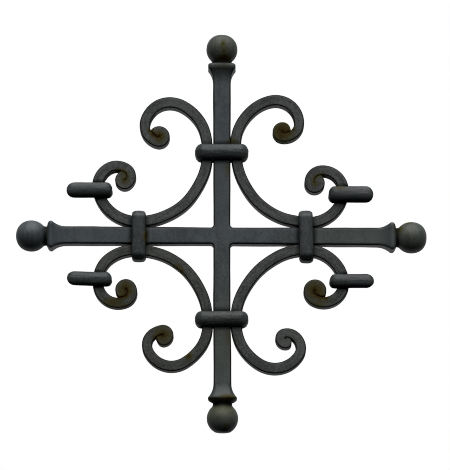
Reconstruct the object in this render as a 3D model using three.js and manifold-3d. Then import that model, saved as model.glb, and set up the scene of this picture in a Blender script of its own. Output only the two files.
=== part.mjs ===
// Forged iron cross: a square upright and a square crossbar halved into each other, both ending in a
// swelled square and a ball, with a C-scroll in each corner, four half-round collars that bind the
// scrolls to the bars, and four half-round clips hooked on the outer bends of the scrolls.
// Millimetres, +Z up, the front faces -Y. The origin is on the flat back of the crossing.
import * as THREE from 'three';
import { mergeVertices } from 'three/addons/utils/BufferGeometryUtils.js';
import Module from 'manifold-3d';

const wasm = await Module();
wasm.setup();

// Square bars: half width at the crossing and where the swelled ends begin, and their rounded edges.
const HALF_BAR = 9.8;
const HALF_BAR_END = 10.35;
const BAR_EDGE = 2.2;
const CROSSING_FLAT = 15;
const CROSSBAR_TILT = 0.28;

// Distance from the crossing to the centre of each ball.
const ARM_TOP = 225.5;
const ARM_BOTTOM = 216;
const ARM_LEFT = 224.5;
const ARM_RIGHT = 223;

// Ball, neck and swelled square at the end of every arm.
const BALL_R = 18.3;
const NECK_R = 11.8;
const SWELL_HALF = 16.3;
const SWELL_FROM_BALL = 24;
const FLARE_FROM_BALL = 41;

// Clearances: between pieces that touch, and the half thickness lost at the lap.
const GAP = 0.35;
const LAP_GAP = 0.15;
const FILLET = 3.4;

// Scroll bars: depth, hammered edge and the small extra thickness of a rolled eye.
const SCROLL_DEPTH = 20;
const SCROLL_EDGE = 1.7;
const EYE_PROUD = 0.2;
const EYE_LAP = 40;
const TAPER = 60;

// Half-round iron of the collars and clips: the inner bend at the corners.
const BAND_BEND = 2.5;

// The middle plane of the whole cross.
const MID_Y = -HALF_BAR;
const rad = THREE.MathUtils.degToRad;

// Each scroll leaves its seat against the upright both ways: outwards to the crown volute and inwards
// along the crossbar to the flank volute. It is a chain of tangent bends [radius, sweep in degrees].
// seat is the bar's middle from the upright's and from the crossbar's centre line.
// Bent by hand, so the four differ by a few millimetres.
const SCROLLS = {
  scroll_top_left: {
    side: -1,
    rise: 1,
    seat: [17.4, 96.5],
    width: [12.2, 11.2],
    eyes: [12.6, 11.2],
    crown: [[104.5, 17], [48.5, 45.5], [31.5, 95], [20.5, 97]],
    flank: [[101.5, 5.5], [72.5, 63.5], [145.5, 12], [46.5, 87.5], [23.5, 127], [11, 118.5]],
  },
  scroll_top_right: {
    side: 1,
    rise: 1,
    seat: [17.4, 98],
    width: [11.8, 10.8],
    eyes: [11.6, 12],
    crown: [[97.5, 21.5], [47, 55], [28, 104.5], [16.5, 103]],
    flank: [[112, 5], [73, 61.5], [164.5, 12.5], [40.5, 89], [25, 105], [15, 90]],
  },
  scroll_bottom_left: {
    side: -1,
    rise: -1,
    seat: [17.2, 97],
    width: [12.2, 11.5],
    eyes: [12.8, 12],
    crown: [[74, 26], [50.5, 33.5], [29, 86], [19.5, 114]],
    flank: [[82, 7], [76, 66.5], [156.5, 11], [40.5, 90.5], [23.5, 118.5], [12, 99]],
  },
  scroll_bottom_right: {
    side: 1,
    rise: -1,
    seat: [16.7, 96.5],
    width: [12, 11.8],
    eyes: [11.4, 13.4],
    crown: [[82, 21.5], [52.5, 40], [33.5, 84.5], [16.5, 133]],
    flank: [[79, 2], [72, 58], [155, 14.5], [43.5, 91.5], [23.5, 134], [12, 63.5]],
  },
};

// Collars round a bar and its two scrolls: where they sit along the bar, width, thickness and lean.
const COLLARS = {
  collar_top: { bar: 'upright', at: 100.3, width: 18.8, thick: 7, lean: 0 },
  collar_bottom: { bar: 'upright', at: -100.2, width: 18.6, thick: 6.9, lean: 0 },
  collar_left: { bar: 'crossbar', at: -97.9, width: 16.2, thick: 4.9, lean: 0 },
  collar_right: { bar: 'crossbar', at: 99.2, width: 16.6, thick: 5.6, lean: -0.02 },
};

// Clips on the outer bends: height on the scroll, width, reach of the tongue and how far its tip rises.
const CLIPS = {
  clip_top_left: { scroll: 'scroll_top_left', at: 54.2, width: 18.6, reach: 183.6, lift: 0 },
  clip_top_right: { scroll: 'scroll_top_right', at: 48.9, width: 19.8, reach: 178.9, lift: 0 },
  clip_bottom_left: { scroll: 'scroll_bottom_left', at: -52, width: 16.8, reach: 182.4, lift: 1.2 },
  clip_bottom_right: { scroll: 'scroll_bottom_right', at: -54.4, width: 16.6, reach: 179, lift: 0 },
};
const CLIP_THICK = 5.8;
const CLIP_TIP = 9;
const CLIP_RETURN = 8;

// Makes an indexed geometry from points and triangles, turned so that its faces look outwards.
function closed(points, triangles) {
  const position = new Float32Array(points.flat());
  const at = (i) => new THREE.Vector3().fromArray(position, 3 * i);
  let volume = 0;
  for (const [a, b, c] of triangles) {
    volume += at(a).dot(at(b).cross(at(c)));
  }
  const index = triangles.map(([a, b, c]) => (volume < 0 ? [a, c, b] : [a, b, c])).flat();
  const geometry = new THREE.BufferGeometry();
  geometry.setAttribute('position', new THREE.BufferAttribute(position, 3));
  geometry.setIndex(index);
  return geometry;
}

// Skins a row of equal rings. The row closes on itself or ends in two flat caps.
function skin(rings, loop) {
  const n = rings[0].length;
  const points = rings.flat();
  const triangles = [];
  const last = loop ? rings.length : rings.length - 1;
  for (let i = 0; i < last; i += 1) {
    const p = i * n;
    const q = ((i + 1) % rings.length) * n;
    for (let j = 0; j < n; j += 1) {
      const k = (j + 1) % n;
      triangles.push([p + j, p + k, q + k], [p + j, q + k, q + j]);
    }
  }
  if (!loop) {
    const end = (rings.length - 1) * n;
    for (let j = 1; j < n - 1; j += 1) {
      triangles.push([0, j + 1, j], [end, end + j, end + j + 1]);
    }
  }
  return closed(points, triangles);
}

function toSolid(geometry) {
  const bare = geometry.clone();
  bare.deleteAttribute('normal');
  bare.deleteAttribute('uv');
  const merged = mergeVertices(bare, 1e-4);
  const vertProperties = new Float32Array(merged.attributes.position.array);
  const triVerts = new Uint32Array(merged.index.array);
  return new wasm.Manifold(new wasm.Mesh({ numProp: 3, vertProperties, triVerts }));
}

function toGeometry(solid) {
  const mesh = solid.getMesh();
  const geometry = new THREE.BufferGeometry();
  geometry.setAttribute('position', new THREE.BufferAttribute(new Float32Array(mesh.vertProperties), 3));
  geometry.setIndex(new THREE.BufferAttribute(new Uint32Array(mesh.triVerts), 1));
  return geometry;
}

function boxSolid(x0, x1, y0, y1, z0, z1) {
  const box = new THREE.BoxGeometry(x1 - x0, y1 - y0, z1 - z0);
  box.translate((x0 + x1) / 2, (y0 + y1) / 2, (z0 + z1) / 2);
  return toSolid(box);
}

// Square section with rounded corners: five points to a corner, flats exactly at the half width.
const CORNER_STEP = 18;
const FLAT_COS = Math.cos(rad(CORNER_STEP / 2));

function squareRing(half, corner) {
  const ring = [];
  for (let quarter = 0; quarter < 4; quarter += 1) {
    const su = quarter === 0 || quarter === 3 ? 1 : -1;
    const sv = quarter < 2 ? 1 : -1;
    for (let j = 0; j < 5; j += 1) {
      const a = rad(quarter * 90 + (j + 0.5) * CORNER_STEP);
      const inset = half - corner * FLAT_COS;
      ring.push([su * inset + corner * Math.cos(a), sv * inset + corner * Math.sin(a)]);
    }
  }
  return ring;
}

const roundRing = (radius) => squareRing(radius * FLAT_COS, radius);

// One end of a bar, from the ball's pole inwards: [distance from the ball's centre, ring].
function barEnd() {
  const rows = [];
  const neckAngle = Math.PI - Math.asin(NECK_R / BALL_R);
  const steps = 9;
  for (let i = 0; i <= steps; i += 1) {
    const a = THREE.MathUtils.lerp(0.08, neckAngle, i / steps);
    rows.push([-BALL_R * Math.cos(a), roundRing(BALL_R * Math.sin(a))]);
  }
  rows.push([17.2, roundRing(NECK_R)]);
  rows.push([20, squareRing(14.6, 6)]);
  rows.push([21.6, squareRing(SWELL_HALF - 0.3, 4.4)]);
  rows.push([SWELL_FROM_BALL, squareRing(SWELL_HALF, 3.6)]);
  for (const t of [0.25, 0.5, 0.75, 1]) {
    const half = HALF_BAR_END + (SWELL_HALF - HALF_BAR_END) * (1 - t) ** 2.2;
    const edge = THREE.MathUtils.lerp(3.6, BAR_EDGE, t);
    rows.push([THREE.MathUtils.lerp(SWELL_FROM_BALL, FLARE_FROM_BALL, t), squareRing(half, edge)]);
  }
  return rows;
}

// A whole bar on its own axis t, from the minus ball to the plus ball. place turns (u, v, t) into xyz.
function forgedBar(armMinus, armPlus, place) {
  const rings = [];
  for (const [d, ring] of barEnd()) {
    rings.push(ring.map(([u, v]) => place(u, v, d - armMinus)));
  }
  for (const t of [-CROSSING_FLAT, CROSSING_FLAT]) {
    rings.push(squareRing(HALF_BAR, BAR_EDGE).map(([u, v]) => place(u, v, t)));
  }
  for (const [d, ring] of barEnd().reverse()) {
    rings.push(ring.map(([u, v]) => place(u, v, armPlus - d)));
  }
  return skin(rings, false);
}

const LAP_SIDE = HALF_BAR + GAP;

function makeUpright() {
  const bar = toSolid(forgedBar(ARM_BOTTOM, ARM_TOP, (u, v, t) => [u, MID_Y + v, t]));
  const notch = boxSolid(-30, 30, MID_Y - LAP_GAP, 30, -LAP_SIDE, LAP_SIDE);
  return toGeometry(bar.subtract(notch));
}

// The crossbar keeps the back half of the lap and carries the small fillets in the four corners.
function makeCrossbar() {
  let bar = toSolid(forgedBar(ARM_LEFT, ARM_RIGHT, (u, v, t) => [t, MID_Y + u, v]));
  const outline = [[0, -1], [FILLET, -1], [FILLET, 0]];
  for (const t of [0.33, 0.67]) {
    outline.push([FILLET * (1 - t) ** 1.6, FILLET * t ** 1.6]);
  }
  outline.push([0, FILLET]);
  for (const [sx, sz] of [[1, 1], [1, -1], [-1, 1], [-1, -1]]) {
    const ends = [MID_Y - HALF_BAR + 1.5, MID_Y + HALF_BAR - 1.5];
    const rings = ends.map((y) => outline.map(([p, q]) => [sx * (LAP_SIDE + p), y, sz * (HALF_BAR + q)]));
    bar = bar.add(toSolid(skin(rings, false)));
  }
  const notch = boxSolid(-LAP_SIDE, LAP_SIDE, -60, MID_Y + LAP_GAP, -30, 30);
  return toGeometry(bar.subtract(notch));
}

// Follows a chain of tangent bends and lists the points passed, with the heading at each.
function follow(x, z, heading, bends, turn, tolerance) {
  const stations = [];
  let h = heading;
  for (const [radius, sweep] of bends) {
    const step = 2 * Math.acos(1 - tolerance / radius);
    const n = Math.ceil(rad(sweep) / step);
    const d = (turn * rad(sweep)) / n;
    for (let i = 0; i < n; i += 1) {
      const chord = 2 * radius * Math.sin(Math.abs(d) / 2);
      x += chord * Math.cos(h + d / 2);
      z += chord * Math.sin(h + d / 2);
      h += d;
      stations.push({ x, z, h });
    }
  }
  return stations;
}

// The middle line of a scroll from eye to eye, with its width, in the place of the upper left one.
function scrollLine(scroll, tolerance) {
  const [wide, narrow] = scroll.width;
  const roll = (eye) => [eye - narrow / 2, EYE_LAP];
  const [sx, sz] = scroll.seat;
  const crown = [...scroll.crown, roll(scroll.eyes[0])];
  const flank = [...scroll.flank, roll(scroll.eyes[1])];
  const out = follow(-sx, sz, Math.PI / 2, crown, 1, tolerance);
  const back = follow(-sx, sz, -Math.PI / 2, flank, -1, tolerance);
  const line = out.reverse().map(({ x, z, h }) => ({ x, z, h: h - Math.PI }));
  line.push({ x: -sx, z: sz, h: -Math.PI / 2 }, ...back);
  let run = 0;
  line.forEach((p, i) => {
    run += i === 0 ? 0 : Math.hypot(p.x - line[i - 1].x, p.z - line[i - 1].z);
    p.run = run;
  });
  for (const p of line) {
    const fromEnd = Math.min(p.run, run - p.run);
    p.half = THREE.MathUtils.lerp(narrow, wide, Math.min(1, fromEnd / TAPER)) / 2;
    p.nx = -Math.sin(p.h);
    p.nz = Math.cos(p.h);
  }
  return line;
}

// Bar section with chamfered edges, as [across, depth] pairs.
function barSection(half, edge) {
  const deep = SCROLL_DEPTH / 2;
  return [
    [half, deep - edge], [half - edge, deep], [edge - half, deep], [-half, deep - edge],
    [-half, edge - deep], [edge - half, -deep], [half - edge, -deep], [half, edge - deep],
  ];
}

function makeScroll(scroll) {
  const line = scrollLine(scroll, 0.23);
  const put = (x, y, z) => [-scroll.side * x, MID_Y + y, scroll.rise * z];
  const rings = line.map((p, i) => {
    const tip = i === 0 || i === line.length - 1;
    const half = tip ? p.half - 1.2 : p.half;
    return barSection(half, SCROLL_EDGE).map(([a, d]) => put(p.x + p.nx * a, d, p.z + p.nz * a));
  });
  let solid = toSolid(skin(rings, false));
  // Each end is rolled tight on itself and reads as a solid round eye.
  const deep = SCROLL_DEPTH / 2 + EYE_PROUD;
  const ends = [line[0], line[line.length - 1]];
  ends.forEach((p, i) => {
    const eye = scroll.eyes[i];
    const profile = [
      [0, -deep], [eye - SCROLL_EDGE, -deep], [eye, SCROLL_EDGE - deep],
      [eye, deep - SCROLL_EDGE], [eye - SCROLL_EDGE, deep], [0, deep],
    ];
    const puck = new THREE.LatheGeometry(profile.map(([r, y]) => new THREE.Vector2(r, y)), 22);
    const inwards = eye - scroll.width[1] / 2;
    puck.translate(...put(p.x - p.nx * inwards, 0, p.z - p.nz * inwards));
    solid = solid.add(toSolid(puck));
  });
  return toGeometry(solid);
}

// How far a scroll's edges reach along one axis while the other axis stays between two limits.
function reachOf(scroll, axis, low, high) {
  const other = axis === 'x' ? 'z' : 'x';
  const seen = [];
  for (const p of scrollLine(scroll, 0.004)) {
    for (const s of [-1, 1]) {
      const spot = {
        x: -scroll.side * (p.x + s * p.nx * p.half),
        z: scroll.rise * (p.z + s * p.nz * p.half),
      };
      if (spot[other] > low && spot[other] < high) {
        seen.push(spot[axis]);
      }
    }
  }
  return seen;
}

// Half-round section as [outwards, along] pairs.
function bandSection(width, thick, scale) {
  const section = [];
  for (let i = 0; i <= 6; i += 1) {
    const a = rad(-90 + 30 * i);
    section.push([scale * thick * Math.cos(a), (scale * width * Math.sin(a)) / 2]);
  }
  return section;
}

// A closed band round a bundle that is 2 by 2 half sizes, centred at (cp, cq) across the bar.
function makeCollar(collar) {
  const upright = collar.bar === 'upright';
  const half = collar.width / 2;
  const spare = 0.5 + 30 * Math.abs(collar.lean);
  const low = collar.at - half - spare;
  const high = collar.at + half + spare;
  const across = upright ? 'x' : 'z';
  const near = (v) => Math.abs(v) < 40;
  const held = Object.values(SCROLLS).flatMap((s) => reachOf(s, across, low, high)).filter(near);
  const from = Math.min(...held) - GAP;
  const to = Math.max(...held) + GAP;
  const middle = (from + to) / 2;
  const long = (to - from) / 2;
  const deep = SCROLL_DEPTH / 2 + 2 * GAP;
  const rings = [];
  for (const [sp, sq, turn] of [[1, 1, 0], [-1, 1, 90], [-1, -1, 180], [1, -1, 270]]) {
    for (const step of [0, 30, 60, 90]) {
      const a = rad(turn + step);
      const p = sp * (long - BAND_BEND) + BAND_BEND * Math.cos(a);
      const q = sq * (deep - BAND_BEND) + BAND_BEND * Math.sin(a);
      rings.push(bandSection(collar.width, collar.thick, 1).map(([o, s]) => {
        const along = collar.at + s + collar.lean * p;
        const wide = middle + p + o * Math.cos(a);
        const y = MID_Y + q + o * Math.sin(a);
        return upright ? [wide, y, along] : [along, y, wide];
      }));
    }
  }
  return skin(rings, true);
}

// A clip: a tongue in front of the scroll that hooks round its inner edge and a little way behind it.
function makeClip(clip) {
  const scroll = SCROLLS[clip.scroll];
  const half = clip.width / 2;
  const held = reachOf(scroll, 'x', clip.at - half - 2, clip.at + half + 2);
  const outer = held.map((x) => Math.abs(x)).filter((x) => x > 125);
  const inner = Math.min(...outer) - GAP;
  const deep = SCROLL_DEPTH / 2 + 2 * GAP;
  const path = [];
  for (const t of [0.03, 0.15, 0.4, 0.7, 1]) {
    const scale = Math.sqrt(1 - (1 - t) ** 2);
    path.push({ x: clip.reach - CLIP_TIP * t, y: -deep, nx: 0, ny: -1, scale });
  }
  for (const [sy, turn] of [[-1, 270], [1, 180]]) {
    for (const step of [0, 30, 60, 90]) {
      const a = rad(turn - step);
      const x = inner + BAND_BEND + BAND_BEND * Math.cos(a);
      const y = sy * (deep - BAND_BEND) + BAND_BEND * Math.sin(a);
      path.push({ x, y, nx: Math.cos(a), ny: Math.sin(a), scale: 1 });
    }
  }
  path.push({ x: inner + BAND_BEND + CLIP_RETURN, y: deep, nx: 0, ny: 1, scale: 1 });
  const rings = path.map((p) => bandSection(clip.width, CLIP_THICK, p.scale).map(([o, s]) => {
    const past = Math.max(0, p.x - inner - 16) / (clip.reach - inner - 16);
    return [scroll.side * (p.x + o * p.nx), MID_Y + p.y + o * p.ny, clip.at + s + clip.lift * past];
  }));
  return skin(rings, false);
}

const group = new THREE.Group();
group.name = 'iron_cross';

function addPiece(name, geometry, color) {
  const material = new THREE.MeshStandardMaterial({ color, roughness: 0.5, metalness: 0.1 });
  geometry.computeVertexNormals();
  const mesh = new THREE.Mesh(geometry, material);
  mesh.name = name;
  group.add(mesh);
  return mesh;
}

addPiece('upright', makeUpright(), 0x3d4143);
const crossbar = addPiece('crossbar', makeCrossbar(), 0x3d4143);
crossbar.rotation.y = rad(CROSSBAR_TILT);
for (const [name, scroll] of Object.entries(SCROLLS)) {
  addPiece(name, makeScroll(scroll), 0x3b3c38);
}
for (const [name, collar] of Object.entries(COLLARS)) {
  addPiece(name, makeCollar(collar), 0x464a4b);
}
for (const [name, clip] of Object.entries(CLIPS)) {
  addPiece(name, makeClip(clip), 0x464a4b);
}

export default group;
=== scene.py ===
# %% [markdown]
# # A forged iron cross
# Two square bars cross flush and end in forged balls. A C-scroll sits in each corner, four half-round
# collars bind the scrolls to the bars, and four clips are hooked on the scrolls' outer bends.
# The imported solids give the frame: every piece made here stands where its solid stands. Blender works in
# metres, but a smith thinks in millimetres, so sizes are written in mm and MM turns them into metres.

# %% Load the frame
import math

import bmesh
import bpy
import numpy as np
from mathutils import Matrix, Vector, noise


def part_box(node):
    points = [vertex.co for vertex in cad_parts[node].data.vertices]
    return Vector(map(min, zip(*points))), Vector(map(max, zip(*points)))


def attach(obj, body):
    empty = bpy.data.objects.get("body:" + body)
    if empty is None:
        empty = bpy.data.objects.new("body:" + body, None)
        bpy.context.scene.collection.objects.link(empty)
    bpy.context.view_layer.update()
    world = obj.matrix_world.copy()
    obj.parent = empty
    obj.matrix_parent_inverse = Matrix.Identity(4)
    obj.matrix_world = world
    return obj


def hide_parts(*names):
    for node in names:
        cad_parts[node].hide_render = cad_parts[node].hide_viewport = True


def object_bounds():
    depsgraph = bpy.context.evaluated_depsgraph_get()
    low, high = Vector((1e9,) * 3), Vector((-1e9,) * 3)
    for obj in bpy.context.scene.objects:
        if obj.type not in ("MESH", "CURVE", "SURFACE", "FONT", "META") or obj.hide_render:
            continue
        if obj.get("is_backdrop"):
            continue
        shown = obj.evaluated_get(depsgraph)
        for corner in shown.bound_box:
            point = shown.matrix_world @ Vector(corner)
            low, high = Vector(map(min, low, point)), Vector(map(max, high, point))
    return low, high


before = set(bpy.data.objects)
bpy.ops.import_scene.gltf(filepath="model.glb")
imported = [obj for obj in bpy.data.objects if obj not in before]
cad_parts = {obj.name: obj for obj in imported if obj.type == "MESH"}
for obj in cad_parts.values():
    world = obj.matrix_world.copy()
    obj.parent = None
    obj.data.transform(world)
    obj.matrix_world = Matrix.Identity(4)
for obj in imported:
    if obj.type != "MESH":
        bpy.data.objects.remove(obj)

MM = 0.001
scene = bpy.context.scene
cad_low, cad_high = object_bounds()
cad_size_mm = [round((b - a) / MM, 1) for a, b in zip(cad_low, cad_high)]
print("nodes:", len(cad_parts), "size in mm:", cad_size_mm)

# %% [markdown]
# ## The camera
# The photograph looks up at the cross from about ten degrees below and from far away: the undersides of the
# bars show, and a little more of them at the top. A long lens at 4.8 m gives that view. The camera could
# be turned by hand until the picture fits, but a worked-out one can be checked: the picture is 450 by 470,
# so its long side is the height, and the lens follows from how many millimetres one pixel spans.

# %% Camera
MID_Y = -9.8 * MM
VIEW_DISTANCE = 4.8
VIEW_RISE = math.radians(9.8)
PIXEL = 1.18 * MM
PICTURE_TALL = 470
SENSOR = 24.0
AIM_RIGHT = 3.1
AIM_UP = 1.9
FAR_CLIP = 100

ahead = Vector((0, math.cos(VIEW_RISE), math.sin(VIEW_RISE)))
upwards = Vector((0, -math.sin(VIEW_RISE), math.cos(VIEW_RISE)))
aim = Vector((AIM_RIGHT * PIXEL, MID_Y, 0)) + upwards * (AIM_UP * PIXEL)

camera = bpy.data.objects.new("camera", bpy.data.cameras.new("camera"))
camera.data.sensor_width = SENSOR
camera.data.lens = SENSOR * VIEW_DISTANCE / (PIXEL * PICTURE_TALL)
camera.data.clip_end = FAR_CLIP
camera.location = aim - ahead * VIEW_DISTANCE
camera.rotation_euler = ahead.to_track_quat("-Z", "Y").to_euler()
scene.collection.objects.link(camera)
scene.camera = camera
print("lens:", round(camera.data.lens, 1), "mm, camera at", [round(v, 3) for v in camera.location])

# %% [markdown]
# ## Node arithmetic
# Materials, light and Geometry Nodes all come down to sums on sockets. Writing each Math node by hand hides
# the sum, so one small class wraps a socket: Python's operators on it add the Math nodes, and one method
# adds any other node from its type, its settings and its sockets.

# %% A socket that can be used in sums
class Wire:
    """An output socket of a node tree. Sums and products with it add Math nodes to the tree."""

    def __init__(self, tree, socket=None):
        self.tree = tree
        self.socket = socket

    def node(self, kind, settings=None, sockets=None, out=0):
        """Adds a node: its settings first, then the values or links of its sockets."""
        made = self.tree.nodes.new(kind)
        for key, value in (settings or {}).items():
            setattr(made, key, value)
        for key, value in (sockets or {}).items():
            if isinstance(value, Wire):
                self.tree.links.new(value.socket, made.inputs[key])
            else:
                made.inputs[key].default_value = value
        return Wire(self.tree, made.outputs[out] if len(made.outputs) else None)

    def maths(self, operation, *values):
        return self.node("ShaderNodeMath", {"operation": operation}, dict(enumerate(values)))

    def __add__(self, other):
        return self.maths("ADD", self, other)

    def __sub__(self, other):
        return self.maths("SUBTRACT", self, other)

    def __rsub__(self, other):
        return self.maths("SUBTRACT", other, self)

    def __mul__(self, other):
        return self.maths("MULTIPLY", self, other)

    def __truediv__(self, other):
        return self.maths("DIVIDE", self, other)

    def __rtruediv__(self, other):
        return self.maths("DIVIDE", other, self)

    __radd__ = __add__
    __rmul__ = __mul__

    def ease(self, low, high):
        """0 below low, 1 above high and a smooth step between them."""
        limits = {"Value": self, "From Min": low, "From Max": high}
        return self.node("ShaderNodeMapRange", {"interpolation_type": "SMOOTHSTEP"}, limits)

    def blend(self, first, second):
        """Mixes two colours with this socket as the factor."""
        return self.node("ShaderNodeMix", {"data_type": "RGBA"}, {0: self, 6: first, 7: second}, out=2)

    def part(self, axis):
        """One of the three numbers of a vector."""
        return self.node("ShaderNodeSeparateXYZ", None, {0: self}, out=axis)


def fresh_tree(owner):
    owner.use_nodes = True
    owner.node_tree.nodes.clear()
    return Wire(owner.node_tree)


print("node arithmetic is ready")

# %% [markdown]
# ## Floor and light
# The real cross is lit softly, bright from above and behind and dim from the front below. That is why the
# half-round collars fade from grey at the top to black underneath, and why the undersides of the bars shine
# a little. Lamps could do it, but a soft graded sky gives the same even light with no hot spots. The floor
# is pale and far enough below to stay out of the picture. It throws no light back on the iron, and from
# underneath it is clear, so that the cross can be looked at from there too.

# %% Floor
CORNERS = [(1, 1), (-1, 1), (-1, -1), (1, -1)]
FLOOR_Z = -1.3
FLOOR_HALF = 14.0
CHALK = (0.9, 0.9, 0.9, 1)

floor_mesh = bpy.data.meshes.new("floor")
floor_mesh.from_pydata([(x * FLOOR_HALF, y * FLOOR_HALF, FLOOR_Z) for x, y in CORNERS], [], [(0, 1, 2, 3)])
floor = bpy.data.objects.new("floor", floor_mesh)
floor.visible_diffuse = False
floor.visible_glossy = False
scene.collection.objects.link(floor)
floor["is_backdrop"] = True

floor_paint = bpy.data.materials.new("floor_paint")
kit = fresh_tree(floor_paint)
chalk = kit.node("ShaderNodeBsdfDiffuse", None, {"Color": CHALK})
clear = kit.node("ShaderNodeBsdfTransparent")
under = kit.node("ShaderNodeNewGeometry", out="Backfacing")
shown = kit.node("ShaderNodeMixShader", None, {0: under, 1: chalk, 2: clear})
kit.node("ShaderNodeOutputMaterial", None, {"Surface": shown})
floor_mesh.materials.append(floor_paint)
print("floor at", FLOOR_Z, "m and", 2 * FLOOR_HALF, "m wide")

# %% [markdown]
# The sky is worked out from the direction of each ray: a broad light high in front, a weaker one from
# behind and a breath of light from above. Each has a strength and two values between which it fades in. The
# camera itself sees a plain white wall instead. The picture's filter is narrow, so thin edges stay crisp.

# %% Sky
KEY = Vector((0.06, -0.45, 0.89)).normalized()
KEY_STRENGTH, KEY_FADE = 2.05, (0.62, 0.98)
BACK_STRENGTH, BACK_FADE = 0.33, (0.1, 0.75)
ABOVE_STRENGTH, ABOVE_FADE = 0.05, (-0.05, 0.5)
LEAST_LIGHT = 0.004
WALL_STRENGTH = 1.0
WHITE = (1, 1, 1, 1)
FILTER_PIXELS = 1.0

scene.world = bpy.data.worlds.new("studio")
kit = fresh_tree(scene.world)
ray = kit.node("ShaderNodeTexCoord", out="Generated")
height, depth = ray.part("Z"), ray.part("Y")
towards_key = kit.node("ShaderNodeVectorMath", {"operation": "DOT_PRODUCT"}, {0: ray, 1: KEY}, out="Value")
key = KEY_STRENGTH * towards_key.ease(*KEY_FADE)
behind = BACK_STRENGTH * depth.ease(*BACK_FADE)
above = ABOVE_STRENGTH * height.ease(*ABOVE_FADE)
light = key + behind + above + LEAST_LIGHT
seen = kit.node("ShaderNodeLightPath", out="Is Camera Ray")
glow = kit.node("ShaderNodeBackground", None, {"Color": WHITE, "Strength": light})
wall = kit.node("ShaderNodeBackground", None, {"Color": WHITE, "Strength": WALL_STRENGTH})
room = kit.node("ShaderNodeMixShader", None, {0: seen, 1: glow, 2: wall})
kit.node("ShaderNodeOutputWorld", None, {"Surface": room})
scene.view_settings.view_transform = "Standard"
scene.cycles.filter_width = FILTER_PIXELS
print("sky: front", KEY_STRENGTH, "behind", BACK_STRENGTH, "above", ABOVE_STRENGTH)

# %% [markdown]
# ## The finishes
# The iron is brushed with a thin satin paint, nearly the same dark grey everywhere, with a colder tone on
# the bars and an olive one on the scrolls. The bands get a darker copy of the paint, painted shade that
# offsets the extra light their round backs catch. Rust comes through at the rolled eyes, beside the collars
# and in streaks on the balls. An image texture could hold all that, but procedural noise stays sharp at any
# distance. Where the rust sits depends on the piece, so each mesh carries it as its own attribute, and
# noise breaks its edge. A second attribute carries soot and dirt together with painted shade and shadow:
# in corners beside the bands, under things and in crevices. The bars also carry where water has drawn the
# specks out into runs and where their paint is paler or more olive, and a mesh without these reads them as
# 0.
# The layers lie as on the real iron: paint, then the dark arrises, worn paint together with painted edge
# shade, then rust, then soot with painted shade; the last two are dull and so cover the shine of the paint.
# Bent pieces also carry how their iron lies, across and along the bar, so brush marks follow the bends.

# %% Colours and marks
OCHRE = (0.096, 0.084, 0.029, 1)
RUST = (0.060, 0.032, 0.004, 1)
# The soot colour serves soot and dirt and painted shade alike.
SOOT_AND_SHADE = (0.006, 0.006, 0.005, 1)
BARE_AND_SHADED_EDGE = (0.012, 0.012, 0.011, 1)
OLIVE_CAST = (1.14, 1.05, 0.5, 1)
PATCH_MM, STAIN_MM, SPECK_MM, RUN_MM, PIT_MM = 38, 7, 2.4, 2.2, 0.9
ROUND, ALONG_BEND, ALONG_Z, RUNNING = (1, 1, 1), (1, 1, 0.15), (1, 1, 0.35), (1, 1, 0.12)
RUN_CONTRAST = 2.4
TONE_FADE = (0.43, 0.57)
TINT_FADE = (0.06, 0.8)
RUST_FADE = (0.65, 1.15)
DARKENING_FADE = (0.05, 0.95)
SOOT_AND_SHADE_COVER = 0.95
RELIEF = 0.4 * MM
print("rust over ochre:", RUST[:3], OCHRE[:3])

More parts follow.
